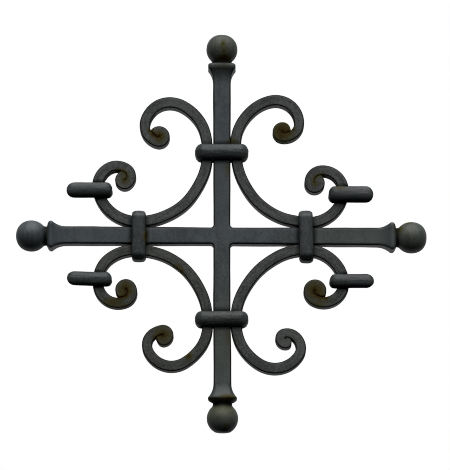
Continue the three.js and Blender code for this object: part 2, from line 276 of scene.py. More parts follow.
# %% Painted iron
def painted_iron(name, paint, faded, roughness, grain, edge_darkening, drawn):
    """A satin paint between two tones. grain is the size of its brush marks in mm, the edge darkening how
    dark the arrises are, worn paint together with painted edge shade, and drawn tells that the marks follow
    the bar."""
    material = bpy.data.materials.new(name)
    kit = fresh_tree(material)
    place = kit.node("ShaderNodeTexCoord", out="Object")

    def cloud(size_mm, detail, rough=0.55, stretch=ROUND, where=place):
        turned = kit.node("ShaderNodeMapping", None, {"Vector": where, "Scale": stretch})
        values = {"Vector": turned, "Scale": 1 / (size_mm * MM), "Detail": detail, "Roughness": rough}
        return kit.node("ShaderNodeTexNoise", None, values)

    def carried(attribute, out="Fac"):
        return kit.node("ShaderNodeAttribute", {"attribute_name": attribute}, out=out)

    def broken(mask, patches, share):
        """A mask that patches of noise make stronger and weaker by a share."""
        return mask * (1 - share + 2 * share * patches)

    broad = cloud(PATCH_MM, detail=3)
    if drawn:
        brush = cloud(grain, detail=4, rough=0.65, stretch=ALONG_BEND, where=carried("lay", "Vector"))
    else:
        brush = cloud(grain, detail=4, rough=0.65, stretch=ALONG_Z)
    pits = cloud(PIT_MM, detail=2, rough=0.6)
    speckle = cloud(SPECK_MM, detail=4, rough=0.65)
    streaks = cloud(RUN_MM, detail=3, rough=0.6, stretch=RUNNING)
    runs = RUN_CONTRAST * (streaks - 0.5) + 0.5
    fine = speckle + carried("runs") * (runs - speckle)
    stain = carried("rust")
    tinted = broken(stain, cloud(STAIN_MM, detail=4, rough=0.6), share=0.6).ease(*TINT_FADE)
    rusty = broken(stain, speckle, share=0.7).ease(*RUST_FADE)
    # Soot and dirt together with painted shade and shadow, read from the soot attribute.
    grime_and_shade = broken(carried("soot_and_shade"), speckle, share=0.4).ease(*DARKENING_FADE)
    # Dark arris lines: worn paint together with painted edge shade.
    worn_and_shaded_edge = broken(carried("arris"), speckle, share=0.25).ease(*DARKENING_FADE)
    tone = (0.25 * broad + 0.35 * brush + 0.4 * fine).ease(*TONE_FADE)
    tone = tone + carried("pale") * (1 - tone)
    cast = {0: carried("olive"), 6: tone.blend(paint, faded), 7: OLIVE_CAST}
    colour = kit.node("ShaderNodeMix", {"data_type": "RGBA", "blend_type": "MULTIPLY"}, cast, out=2)

    relief = 0.7 * brush + 0.3 * pits + 0.6 * speckle + 0.8 * tinted * speckle
    skin = kit.node("ShaderNodeBump", None, {"Strength": 0.6, "Distance": RELIEF, "Height": relief})

    def layer(colour, rough, shine):
        values = {"Base Color": colour, "Roughness": rough, "Specular IOR Level": shine, "Normal": skin}
        return kit.node("ShaderNodeBsdfPrincipled", None, values)

    coats = layer(colour, rough=roughness + 0.18 * (brush - 0.5), shine=0.5)
    covers = [
        (worn_and_shaded_edge * edge_darkening, layer(BARE_AND_SHADED_EDGE, rough=0.75, shine=0.15)),
        (tinted, layer(rusty.blend(OCHRE, RUST), rough=0.85, shine=0.1)),
        # Soot layer: soot and dirt with painted shade, dull over the paint.
        (grime_and_shade * SOOT_AND_SHADE_COVER, layer(SOOT_AND_SHADE, rough=0.9, shine=0.1)),
    ]
    for share, cover in covers:
        coats = kit.node("ShaderNodeMixShader", None, {0: share, 1: coats, 2: cover})
    kit.node("ShaderNodeOutputMaterial", None, {"Surface": coats})
    return material


tones = {"paint": (0.076, 0.092, 0.101, 1), "faded": (0.122, 0.143, 0.153, 1)}
bar_paint = painted_iron("bar_paint", **tones, roughness=0.42, grain=9, edge_darkening=0.9, drawn=False)
tones = {"paint": (0.056, 0.065, 0.062, 1), "faded": (0.142, 0.155, 0.147, 1)}
scroll_paint = painted_iron("scroll_paint", **tones, roughness=0.48, grain=3, edge_darkening=0.9, drawn=True)
# The bands get a darker copy of the paint: painted shade that offsets the extra light their round backs
# catch.
tones = {"paint": (0.052, 0.061, 0.063, 1), "faded": (0.100, 0.113, 0.116, 1)}
shaded_band_paint = painted_iron("shaded_band_paint", **tones, roughness=0.44, grain=3, edge_darkening=0.8, drawn=True)
print("finishes:", [m.name for m in (bar_paint, scroll_paint, shaded_band_paint)])

# %% [markdown]
# ## Finishing a piece
# Every piece ends the same way: doubles merged, normals turned outwards, smooth shading broken at real
# arrises, then its rust and its soot together with painted shade written as attributes, and its place in
# the frame declared. Each could do that for itself, but one shared function forgets no step. Open edges are
# counted, because a forged piece is a closed body.

# %% Shared last steps
ARRIS = math.radians(38)
MERGE = 1e-6
NO_LENGTH = 1e-8


def clean_skin(mesh, merge=MERGE):
    """Merges doubles, turns the faces outwards and counts the edges that are left open."""
    shell = bmesh.new()
    shell.from_mesh(mesh)
    bmesh.ops.remove_doubles(shell, verts=shell.verts, dist=merge)
    bmesh.ops.dissolve_degenerate(shell, edges=shell.edges, dist=NO_LENGTH)
    bmesh.ops.recalc_face_normals(shell, faces=shell.faces)
    open_edges = sum(1 for e in shell.edges if not e.is_manifold)
    shell.to_mesh(mesh)
    shell.free()
    mesh.shade_smooth()
    mesh.set_sharp_from_angle(angle=ARRIS)
    return open_edges


def mark(mesh, name, spots, base=0.0):
    """Writes an attribute from spots: (point and radius each way in mm, strength). The strongest counts."""
    points = np.empty(len(mesh.vertices) * 3)
    mesh.vertices.foreach_get("co", points)
    points = points.reshape(-1, 3) / MM
    value = np.full(len(points), base)
    for spot, radius, strength in spots:
        away = np.sum(((points - np.array(spot)) / np.array(radius)) ** 2, axis=1)
        value = np.maximum(value, strength * np.exp(-away))
    mesh.attributes.new(name, "FLOAT", "POINT").data.foreach_set("value", value.astype(np.float32))


def place_piece(name, mesh, nodes, finish, rust, soot_and_shade, even_darkening=0.0):
    open_edges = clean_skin(mesh)
    mark(mesh, "rust", rust)
    # The soot attribute holds soot and dirt together with painted shade and shadow; the base darkens the
    # whole piece evenly.
    mark(mesh, "soot_and_shade", soot_and_shade, even_darkening)
    mesh.materials.clear()
    mesh.materials.append(finish)
    piece = bpy.data.objects.new(name, mesh)
    scene.collection.objects.link(piece)
    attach(piece, "root")
    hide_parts(*nodes)
    triangles = sum(len(p.vertices) - 2 for p in mesh.polygons)
    print(f"{name}: {triangles} triangles, {open_edges} open edges")


print("edges sharper than", round(math.degrees(ARRIS)), "degrees stay crisp")

# %% [markdown]
# ## Where the bands sit
# Beside every collar and clip the corner on the bar or scroll is darkened: beside a collar it is old dirt
# together with painted shadow where the band meets the bar, beside a clip painted shadow. So their places
# are needed before the bars and scrolls get their marks. Each band's two edges become dark slabs, thin
# along the bar. The places could be read back from the solids, but a table also holds what makes each band
# different: a lean, a trimmed lower end, a tongue that lifts towards its tip, or a hook that grips further
# in.

# %% Collars, clips and the dirt and painted shadow beside them
COLLARS = {
    "collar_top": {"upright": True, "at": 100.3, "width": 18.8, "thick": 7.0, "lean": 0.0},
    "collar_bottom": {"upright": True, "at": -99.0, "width": 17.8, "thick": 6.9, "lean": 0.0},
    "collar_left": {"upright": False, "at": -97.9, "width": 16.2, "thick": 4.9, "lean": 0.0, "trim": 1.6},
    "collar_right": {"upright": False, "at": 99.2, "width": 16.6, "thick": 5.6, "lean": -0.02},
}
CLIPS = {
    "clip_top_left": {"side": -1, "at": 54.2, "width": 18.6, "lift": 0.0},
    "clip_top_right": {"side": 1, "at": 48.9, "width": 19.8, "lift": 0.0},
    "clip_bottom_left": {"side": -1, "at": -52.0, "width": 16.8, "lift": 1.2},
    "clip_bottom_right": {"side": 1, "at": -54.4, "width": 16.6, "lift": 0.0, "grip": 1.8},
}
MID = MID_Y / MM
COLLAR_PAST, CLIP_PAST = 0.5, 0.3
SLAB_WIDE, SLAB_DEEP, SLAB_THIN = 32, 30, 4.2
SLAB_DARK = 0.85
CLIP_MIDDLE = 148
CLIP_FRONT = 8
CLIP_SLAB = (13, 9, 3.4)
CLIP_DARK = 0.95


# Dark slabs beside each collar: old dirt together with painted shadow where the band meets the bar.
def collar_dirt_and_shadow():
    spots = []
    for collar in COLLARS.values():
        for end in (-1, 1):
            along = collar["at"] + end * (collar["width"] / 2 + COLLAR_PAST)
            if collar["upright"]:
                spots.append(((0, MID, along), (SLAB_WIDE, SLAB_DEEP, SLAB_THIN), SLAB_DARK))
            else:
                spots.append(((along, MID, 0), (SLAB_THIN, SLAB_DEEP, SLAB_WIDE), SLAB_DARK))
    return spots


# Dark slabs beside each clip: painted shadow on the scroll at the clip's edges.
def clip_shadow():
    spots = []
    for clip in CLIPS.values():
        for end in (-1, 1):
            along = clip["at"] + end * (clip["width"] / 2 + CLIP_PAST)
            spots.append(((clip["side"] * CLIP_MIDDLE, MID - CLIP_FRONT, along), CLIP_SLAB, CLIP_DARK))
    return spots


print("dark slabs:", len(collar_dirt_and_shadow()), "at the collars and", len(clip_shadow()), "at the clips")

# %% [markdown]
# ## The two bars
# The bars are taken to be halved into each other and filed flush, because the crossing shows no seam. A
# boolean union would leave ragged faces in the four corners, so the whole cross is laid out as one skin of
# quads. Each section is a square with rounded edges, walked in the same order everywhere. The crossing is
# built from quarter patches whose border follows the small corner fillet.

# %% Section of a bar
HALF_BAR = 9.95
HALF_BAR_END = 10.5
BAR_EDGE = 2.2
FLAT_STEPS = 5
EDGE_STEPS = 5


def quarter_square(half, edge):
    """A quarter of a section as (across, depth), from the middle of the front to the middle of a side."""
    flat = np.linspace(0, half - edge, FLAT_STEPS + 1)
    front = [(u, -half) for u in flat[:-1]]
    turn = np.linspace(0, math.pi / 2, EDGE_STEPS + 1)
    round_edge = [(half - edge + edge * math.sin(a), -half + edge - edge * math.cos(a)) for a in turn]
    side = [(half, -v) for v in flat[::-1][1:]]
    return np.array(front + round_edge + side)


def quarter_round(radius):
    """The same quarter of a round section, with as many points."""
    turn = np.linspace(0, math.pi / 2, 2 * FLAT_STEPS + EDGE_STEPS + 1)
    return np.stack([radius * np.sin(turn), -radius * np.cos(turn)], 1)


def whole_ring(quarter):
    """The whole section from its quarter."""
    u, v = quarter[:-1].T
    back_u, back_v = quarter[::-1][:-1].T
    right = [(u, v), (back_u, -back_v)]
    left = [(-u, -v), (-back_u, back_v)]
    return np.concatenate([np.stack(side, 1) for side in right + left])


def edge_marks():
    """How near each point is to an arris, 0 on the flats and 1 on it, for a quarter and a whole ring."""
    turn = np.sin(np.linspace(0, math.pi, EDGE_STEPS + 1))
    quarter = np.concatenate([np.zeros(FLAT_STEPS), turn, np.zeros(FLAT_STEPS)])
    half = np.concatenate([quarter[:-1], quarter[::-1][:-1]])
    return quarter, np.concatenate([half, half])


print("points in a section:", len(whole_ring(quarter_square(HALF_BAR, BAR_EDGE))))

# %% [markdown]
# The end of each arm swells to a heavier square, pinches to a hollow neck and runs out in a ball. The swell
# falls steeply to the neck and slowly to the bar. Between the square and the ball the section blends from
# square to round, so no seam shows at the neck. A lathe profile and a square bar could be joined instead,
# but rows of one section grow into each other as the forged iron does. No two ends are alike, so a table
# holds what differs: how much closer to the ball the swell sits, its half size and the rounding of its
# corners, how full its lip and the ball's far side are, and where a blow has left the ball's pole flat.

# %% Measures of the arms
ARMS = {"top": 225.5, "bottom": 216.0, "left": 224.5, "right": 223.0}
BALL_R = 18.45
BALL_JOIN = 13.0
NECK_R = 11.3
NECK_FROM_BALL = 16.6
SHOULDER = 19.2
SHOULDER_ROUND = 1.5
SQUARE_SOON = 1.6
SWELL_FROM_BALL = 24.0
FLARE_FROM_BALL = 41.0
FLARE_FALL = 2.2
CROSS_FLAT = 16.0
POLE_SOFT = 0.6
ENDS = {
    "top": {"closer": 2.0, "swell": 16.3, "corner": 3.6, "lip": 2.8, "full": 2.1, "cut": 0.955},
    "bottom": {"closer": 0.9, "swell": 17.0, "corner": 9.0, "lip": 1.5, "full": 2.0, "cut": 0.905},
    "left": {"closer": 1.1, "swell": 16.3, "corner": 3.6, "lip": 2.2, "full": 2.15, "cut": 1.0},
    "right": {"closer": 1.7, "swell": 16.3, "corner": 3.6, "lip": 2.2, "full": 2.25, "cut": 1.0},
}
print("arms to the balls' centres in mm:", ARMS)

# %% Section near the end of an arm
def smooth(t):
    """A smooth step from 0 to 1."""
    t = np.clip(t, 0, 1)
    return t * t * (3 - 2 * t)


def neck_radius(d):
    hollow = (math.sqrt(BALL_R**2 - BALL_JOIN**2) - NECK_R) / (NECK_FROM_BALL - BALL_JOIN) ** 2
    return NECK_R + hollow * (d - NECK_FROM_BALL) ** 2


def end_section(d, end):
    """The ring at d mm from the ball's centre towards the crossing. Below 0 it is on the far side."""
    closer, swell = end["closer"], end["swell"]
    if d <= 0:
        bulge = max(0.0, 1 - (-d / BALL_R) ** end["full"])
        return whole_ring(quarter_round(BALL_R * bulge ** (1 / end["full"])))
    if d <= BALL_JOIN:
        return whole_ring(quarter_round(math.sqrt(BALL_R**2 - d * d)))
    if d <= SHOULDER - closer:
        return whole_ring(quarter_round(neck_radius(d)))
    if d <= SWELL_FROM_BALL - closer:
        neck = neck_radius(SHOULDER - closer)
        t = (d + closer - SHOULDER) / (SWELL_FROM_BALL - SHOULDER)
        grown = 1 - (1 - t) ** end["lip"]
        square = quarter_square(neck + (swell - neck) * grown, end["corner"])
        disc = quarter_round(neck + (swell + SHOULDER_ROUND - neck) * grown)
        return whole_ring(square + (disc - square) * (1 - smooth(grown * SQUARE_SOON)))
    t = np.clip((d - SWELL_FROM_BALL) / (FLARE_FROM_BALL - SWELL_FROM_BALL), 0, 1)
    half = HALF_BAR_END + (swell - HALF_BAR_END) * (1 - t) ** FLARE_FALL
    return whole_ring(quarter_square(half, end["corner"] + (BAR_EDGE - end["corner"]) * t))


print("neck:", NECK_R, "mm in radius,", round(neck_radius(BALL_JOIN), 1), "mm where it meets the ball")

# %% Rows along an arm
BAR_ROWS, FLARE_ROWS, NECK_ROWS, BALL_ROWS = 60, 14, 9, 30


def end_place(d, end):
    """Where the ring at d sits, past the ball's centre. A cut below 1 leaves a small flat at the pole."""
    room = BALL_R * end["cut"] + d
    return -d if end["cut"] == 1 else BALL_R * end["cut"] - (room + math.hypot(room, POLE_SOFT)) / 2


def arm_rows(arm, end):
    """(distance from the crossing, ring) from the crossing to the ball's pole."""
    rows = []
    straight = arm - FLARE_FROM_BALL
    for t in np.linspace(CROSS_FLAT, straight, BAR_ROWS):
        grow = (t - CROSS_FLAT) / (straight - CROSS_FLAT)
        half = HALF_BAR + (HALF_BAR_END - HALF_BAR) * grow
        rows.append((t, whole_ring(quarter_square(half, BAR_EDGE))))
    flare = np.linspace(FLARE_FROM_BALL, SWELL_FROM_BALL, FLARE_ROWS)[1:]
    shoulder = np.linspace(SWELL_FROM_BALL, SHOULDER, FLARE_ROWS)[1:] - end["closer"]
    neck = np.linspace(SHOULDER - end["closer"], BALL_JOIN, NECK_ROWS)[1:-1]
    ball = BALL_R * np.cos(np.linspace(math.acos(BALL_JOIN / BALL_R), math.pi, BALL_ROWS))
    for d in [*flare, *shoulder, *neck, *ball]:
        rows.append((arm + end_place(d, end), end_section(d, end)))
    return rows


print("rows on the top arm:", len(arm_rows(ARMS["top"], ENDS["top"])))

# %% [markdown]
# At the crossing each quarter patch runs from the bars' centre lines, over the rounded edge, to the middle
# of the side wall. Its long way follows the outline: down the upright, round the fillet, out along the
# crossbar. The patches and the arms share their border points, so merging doubles closes the skin.

# %% Crossing patches
FILLET = 3.6
PATCH_STEPS = 4
FILLET_STEPS = 10


def crossing_patch():
    """Rows of (x, z, y) for the front quarter at +x, +z."""
    edge = HALF_BAR + FILLET
    lines = []
    for z in np.linspace(CROSS_FLAT, edge, PATCH_STEPS + 1)[:-1]:
        lines.append(((0, z), (HALF_BAR, z), (-1, 0)))
    for i in range(FILLET_STEPS + 1):
        a = math.pi + math.pi / 2 * i / FILLET_STEPS
        away = (math.cos(a), math.sin(a))
        t = 2 * i / FILLET_STEPS
        spine = (0, edge * (1 - t)) if t <= 1 else (edge * (t - 1), 0)
        lines.append((spine, (edge + FILLET * away[0], edge + FILLET * away[1]), away))
    for x in np.linspace(edge, CROSS_FLAT, PATCH_STEPS + 1)[1:]:
        lines.append(((x, 0), (x, HALF_BAR), (0, -1)))
    section = quarter_square(HALF_BAR, BAR_EDGE)
    inset = HALF_BAR - BAR_EDGE
    rows = []
    for spine, border, inward in lines:
        spine, border, inward = map(np.array, (spine, border, inward))
        row = []
        for u, v in section:
            rim = border + inward * (HALF_BAR - max(u, inset))
            spot = spine + (rim - spine) * min(1.0, u / inset)
            row.append((*spot, v))
        rows.append(row)
    return np.array(rows)


patch = crossing_patch()
print("crossing patch:", patch.shape[:2], "points")

# %% [markdown]
# Arms and patches go into one skin as sheets of quads. AXES says how an arm lies: the x and z of its
# section's width and of its length. Hand-made bars are not true: the crossbar drops a little to the right,
# and the foot of the upright drifts that way too. Both moves come last and shift the whole skin, so the
# borders between its sheets stay closed. Each point also carries how much of the dark arris line shows
# there, worn paint together with painted edge shade, which fades towards the swells.

# %% Skin of the whole cross
AXES = {
    "top": {"width": (1, 0), "length": (0, 1)},
    "bottom": {"width": (1, 0), "length": (0, -1)},
    "left": {"width": (0, 1), "length": (-1, 0)},
    "right": {"width": (0, 1), "length": (1, 0)},
}
CROSSBAR_TILT = math.radians(0.28)
FOOT_DRIFT, DRIFT_FROM, DRIFT_OVER = 0.65, 90, 60
FADE_FROM_BALL, FADE_OVER, FADE_SHARE = 44, 10, 0.6
RIM_FADE_OVER = 5
points, faces, arrises = [], [], []


def add_sheet(sheet, marks, wrap):
    """Adds a grid of points as quads. wrap joins the last column to the first."""
    start, (rows, columns) = len(points), sheet.shape[:2]
    points.extend(map(tuple, sheet.reshape(-1, 3)))
    arrises.extend(marks.ravel())
    for i in range(rows - 1):
        for j in range(columns if wrap else columns - 1):
            k = (j + 1) % columns
            quad = (i * columns + j, i * columns + k, (i + 1) * columns + k, (i + 1) * columns + j)
            faces.append(tuple(start + q for q in quad))


def arris_left(past):
    """How much of the dark arris line shows, past mm beyond the ball's centre: worn paint with painted edge
    shade.
    """
    faded = FADE_SHARE * smooth((past + FADE_FROM_BALL) / FADE_OVER)
    return 1 - faded - (1 - FADE_SHARE) * smooth((past + SWELL_FROM_BALL) / RIM_FADE_OVER)


quarter_marks, ring_marks = edge_marks()
for name, arm in ARMS.items():
    (ux, uz), (tx, tz) = AXES[name].values()
    rows = arm_rows(arm, ENDS[name])
    sheet = [[(u * ux + t * tx, v, u * uz + t * tz) for u, v in ring] for t, ring in rows]
    shown = [arris_left(t - arm) for t, ring in rows]
    add_sheet(np.array(sheet), np.outer(shown, ring_marks), wrap=True)
patch_marks = np.tile(quarter_marks, (len(patch), 1))
for sx in (1, -1):
    for sz in (1, -1):
        for sy in (1, -1):
            add_sheet(patch[:, :, [0, 2, 1]] * np.array([sx, sy, sz]), patch_marks, wrap=False)

bars_mesh = bpy.data.meshes.new("cross_bars")
skin_points = np.array(points)
skin_points[:, 2] -= skin_points[:, 0] * math.tan(CROSSBAR_TILT)
skin_points[:, 0] += FOOT_DRIFT * smooth((-skin_points[:, 2] - DRIFT_FROM) / DRIFT_OVER)
skin_points[:, 1] += MID
bars_mesh.from_pydata((skin_points * MM).tolist(), [], faces)
bars_mesh.attributes.new("arris", "FLOAT", "POINT").data.foreach_set("value", arrises)
print("open edges before the hammer marks:", clean_skin(bars_mesh, merge=10 * MERGE))

# %% [markdown]
# Forged iron is never dead flat: the hammer leaves shallow dents, wide ones with smaller ones in them. Bump
# alone would not change the outline, so the dents are moved into the mesh: two layers of noise along the
# normals, a few tenths of a millimetre deep.

# %% Hammer marks
BAR_DENTS = [(0.22, 26), (0.1, 9)]
SEED_STEP = (3.1, 1.7, 2.3)


def hammer(mesh, layers, seed):
    """Dents a mesh along its normals. A layer is the depth and the size of its dents in mm."""
    offset = Vector([seed * step for step in SEED_STEP])
    mesh.update()
    moves = []
    for vertex in mesh.vertices:
        rise = sum(deep * noise.noise(vertex.co / (size * MM) + offset) for deep, size in layers)
        moves.append(vertex.co + vertex.normal * (rise * MM))
    mesh.vertices.foreach_set("co", np.array(moves).ravel())
    mesh.update()


hammer(bars_mesh, BAR_DENTS, seed=3)
print("dents of the bars, depth and size in mm:", BAR_DENTS)

# %% [markdown]
# ## Weather and painted shade on the bars
# Rain runs down the balls and stays in the necks and beside the collars, so rust sits there. Dark spots lie
# beside the collars, under the balls, in the crease under the top lip, under the bottom rim and round every
# neck: beside the collars old dirt together with painted shadow, elsewhere painted shade. They could be
# painted by hand on an unwrapped skin, but a spot with a place, a size and a strength can be moved by
# itself, and the noise in the finish breaks its edge. The first tables are rust, on the balls and on the
# bars.

# %% Rust, soot and painted shade of the bars
BALL_STREAKS = [
    ((1, -20, 226), (20, 22, 18), 0.3),
    ((2, -26, 226), (5, 12, 15), 0.65),
    ((0.7, -27, 228.8), (2.8, 9, 4.5), 0.95),
    ((2.4, -27, 221), (2.8, 9, 3.2), 1.0),
    ((2.5, -24, 213), (9, 10, 5.5), 1.2),
    ((0, -26, 202), (15, 10, 5), 0.4),
    ((221, -20, 4), (20, 20, 18), 0.2),
    ((208, -18, 9), (6, 14, 9), 0.9),
    ((219, -14, 17), (8, 12, 4), 1.0),
    ((0, -20, -212), (22, 22, 18), 0.22),
    ((2, -26, -207), (14, 12, 8), 0.4),
    ((5, -26, -226), (5, 9, 4), 0.7),
    ((8, -26, -193), (13, 22, 4.5), 0.85),
    ((-14, -22, -195.5), (7, 16, 3), 0.9),
]
BAR_STAINS = [
    ((9, -20, 112), (4, 8, 6), 0.7),
    ((-89.4, -20, -1), (3, 8, 7), 1.0),
    *[((7, -20, z), (5, 6, 14), 0.45) for z in (-120, 78)],
]
# Dark spots of the bars: beside the collars old dirt with painted shadow; the rest mostly painted shade, in
# the crevice at a scroll's burr, under the bottom ball, under the top lip and under the bottom rim.
BAR_SOOT_AND_SHADE = collar_dirt_and_shadow() + [
    ((10.6, MID, 113), (2, 30, 5), 0.9),
    ((4, -20, -231), (15, 16, 6), 0.5),
    ((0, -26, -185), (20, 20, 8), 0.26),
    ((3, -20, -231), (9, 14, 3), 0.8),
    ((0, MID, 244), (14, 16, 2.2), 0.5),
    ((0, -24, 205), (16, 12, 3), 0.5),
    ((0, MID, -197.5), (40, 40, 2.6), 0.75),
]
# Painted shade round every neck, where the iron pinches in under the ball.
NECK_SHADE_FROM_BALL = 16.5
NECK_SHADE_WIDE, NECK_SHADE_DEEP, NECK_SHADE_THIN = 24, 30, 3.2
for name, arm in ARMS.items():
    tx, tz = AXES[name]["length"]
    neck = arm - NECK_SHADE_FROM_BALL
    radius = (NECK_SHADE_THIN if tx else NECK_SHADE_WIDE, NECK_SHADE_DEEP, NECK_SHADE_THIN if tz else NECK_SHADE_WIDE)
    BAR_SOOT_AND_SHADE.append(((neck * tx, MID, neck * tz), radius, 1.0))
print("spots of rust and soot:", len(BALL_STREAKS + BAR_STAINS), len(BAR_SOOT_AND_SHADE))

# %% [markdown]
# The paint has weathered too. Water has drawn its specks out into runs down the balls, most of all on the
# right. The paint has yellowed to olive at three balls and on the lower and right arms, and in broad places
# along the bars it is paler. More noise would put such places anywhere, so they too are spots in a table.

# %% Runs, olive and pale places
RUNS = {"top": 0.7, "bottom": 0.8, "left": 0.4, "right": 1.0}
RUN_REACH = (21, 21, 21)
BALL_RUNS = []
for name, arm in ARMS.items():
    tx, tz = AXES[name]["length"]
    BALL_RUNS.append(((arm * tx, MID, arm * tz), RUN_REACH, RUNS[name]))
OLIVE_PLACES = [
    ((0, MID, 226), (24, 30, 24), 0.6),
    ((0, MID, -207), (24, 30, 18), 1.0),
    ((0, MID, -190), (26, 30, 8), 0.4),
    ((222, MID, 0), (24, 30, 24), 0.6),
    ((0, MID, -130), (30, 40, 85), 0.35),
    ((150, MID, 0), (60, 40, 30), 0.3),
]
PALE_PLACES = [
    ((0, -26, -210), (20, 20, 9), 0.8),
    ((184, -24, 0), (22, 20, 16), 0.85),
    ((130, MID, 0), (30, 40, 30), 0.4),
    ((-142, MID, 0), (40, 40, 30), 0.5),
    ((0, MID, 65), (30, 40, 70), 0.6),
    ((0, MID, -142), (30, 40, 32), 0.6),
    ((-196, -24, 0), (10, 20, 16), 0.5),
]
for attribute, spots in (("runs", BALL_RUNS), ("olive", OLIVE_PLACES), ("pale", PALE_PLACES)):
    mark(bars_mesh, attribute, spots)
rust = BALL_STREAKS + BAR_STAINS
place_piece("cross_bars", bars_mesh, ["upright", "crossbar"], bar_paint, rust, BAR_SOOT_AND_SHADE)

# %% [markdown]
# ## Iron that follows a line
# Scrolls, collars and clips are all a bar of one section bent along a line, so one Geometry Nodes tree
# makes them. A curve with a bevel could, but its section keeps its proportions, while a rolled end thins in
# one direction only. The line's points carry the two directions and half sizes of the section there. The
# tree lays a grid over line and section, moves every grid point to its place and joins the seam. Where the
# half sizes run out to nothing, the end closes by itself. It also stores how the iron lies: across, deep
# and along the bar. The dents are the tree's last step, drawn out along the bar as a hammer leaves them.

# %% Steps of the tree
def named(kit, name, kind):
    return kit.node("GeometryNodeInputNamedAttribute", {"data_type": kind}, {"Name": name})


def sampled(geometry, name, kind, at):
    """What the point with a given index carries under a name, or its position."""
    if name == "position":
        value = geometry.node("GeometryNodeInputPosition")
    else:
        value = named(geometry, name, kind)
    links = {"Geometry": geometry, "Value": value, "Index": at}
    return geometry.node("GeometryNodeSampleIndex", {"data_type": kind}, links)


def stored(geometry, name, kind, value):
    links = {"Geometry": geometry, "Name": name, "Value": value}
    return geometry.node("GeometryNodeStoreNamedAttribute", {"data_type": kind, "domain": "POINT"}, links)


def stretched(vector, amount):
    return vector.node("ShaderNodeVectorMath", {"operation": "SCALE"}, {0: vector, "Scale": amount})


def joined(first, second):
    return first.node("ShaderNodeVectorMath", {"operation": "ADD"}, {0: first, 1: second})


print("steps of the tree:", [step.__name__ for step in (named, sampled, stored, stretched, joined)])

# %% Tree: forge along a line
DENT_STRETCH = (1, 1, 0.18)
DENT_DETAIL = 2.0
ROUND_MOST = 0.9
INPUTS = {
    "Line": "NodeSocketGeometry",
    "Section": "NodeSocketObject",
    "Edge": "NodeSocketFloat",
    "Dent Height": "NodeSocketFloat",
    "Dent Size": "NodeSocketFloat",
    "Seed": "NodeSocketFloat",
    "Finish": "NodeSocketMaterial",
}


def forge_tree():
    tree = bpy.data.node_groups.new("forge_along_a_line", "GeometryNodeTree")
    for name, kind in INPUTS.items():
        tree.interface.new_socket(name, in_out="INPUT", socket_type=kind)
    tree.interface.new_socket("Piece", in_out="OUTPUT", socket_type="NodeSocketGeometry")
    kit = Wire(tree)
    given = tree.nodes.new("NodeGroupInput").outputs
    line, profile, edge, dent, dent_size, seed, finish = (Wire(tree, given[name]) for name in INPUTS)
    section = kit.node("GeometryNodeObjectInfo", None, {"Object": profile}, out="Geometry")
    count = {}
    for key, geometry in (("line", line), ("section", section)):
        count[key] = kit.node("GeometryNodeAttributeDomainSize", None, {0: geometry}, out="Point Count")
    columns = count["section"] + 1
    sizes = {"Size X": 1.0, "Size Y": 1.0, "Vertices X": count["line"], "Vertices Y": columns}
    grid = kit.node("GeometryNodeMeshGrid", None, sizes, out="Mesh")
    index = kit.node("GeometryNodeInputIndex")
    row = kit.maths("FLOOR", (index + 0.5) / columns)
    column = kit.maths("MODULO", index - row * columns, count["section"])

    corner = sampled(section, "position", "FLOAT_VECTOR", column)
    bend = sampled(section, "round", "FLOAT_VECTOR", column)
    spot = sampled(line, "position", "FLOAT_VECTOR", row)
    halves = {side: sampled(line, f"half_{side}", "FLOAT", row) for side in ("across", "deep")}
    least = kit.maths("MINIMUM", halves["across"], halves["deep"])
    rounding = kit.maths("MINIMUM", edge, least * ROUND_MOST)
    lay = {"Z": sampled(line, "run", "FLOAT", row)}
    for axis, side in (("X", "across"), ("Y", "deep")):
        lay[axis] = corner.part(axis) * (halves[side] - rounding) + bend.part(axis) * rounding
        spot = joined(spot, stretched(sampled(line, side, "FLOAT_VECTOR", row), lay[axis]))
    lay = kit.node("ShaderNodeCombineXYZ", None, lay)
    shaped = kit.node("GeometryNodeSetPosition", None, {"Geometry": grid, "Position": spot})
    rubbed = stored(shaped, "arris", "FLOAT", sampled(section, "arris", "FLOAT", column))
    marked = stored(rubbed, "lay", "FLOAT_VECTOR", lay)
    sewn = kit.node("GeometryNodeMergeByDistance", None, {"Geometry": marked, "Distance": MERGE})

    kept = named(kit, "lay", "FLOAT_VECTOR")
    drawn = kit.node("ShaderNodeVectorMath", {"operation": "MULTIPLY"}, {0: kept, 1: DENT_STRETCH})
    grain = {"Vector": drawn, "W": seed, "Scale": 1.0 / dent_size, "Detail": DENT_DETAIL}
    ripple = kit.node("ShaderNodeTexNoise", {"noise_dimensions": "4D"}, grain)
    normal = kit.node("GeometryNodeInputNormal")
    lift = stretched(normal, (ripple - 0.5) * 2.0 * dent)
    dented = kit.node("GeometryNodeSetPosition", None, {"Geometry": sewn, "Offset": lift})
    real = kit.node("GeometryNodeRealizeInstances", None, {"Geometry": dented})
    painted = kit.node("GeometryNodeSetMaterial", None, {"Geometry": real, "Material": finish})
    kit.node("NodeGroupOutput", None, {"Piece": painted})
    return tree


forge = forge_tree()
print("forge tree:", len(forge.nodes), "nodes")

# %% [markdown]
# The tree needs a section and a line. A section is a small mesh of points: each one names the corner it
# belongs to and its place on that corner's rounding, so one section serves any size. A line is a mesh of
# points with the attributes that the tree reads. The scrolls are flat stock with rounded arrises. The bands
# are half-round, and a fuller section stands for those that were hammered flatter.

# %% Sections
BAND_ARRIS = 0.9
ROUND_FULL, FLAT_FULL = 2.0, 2.7


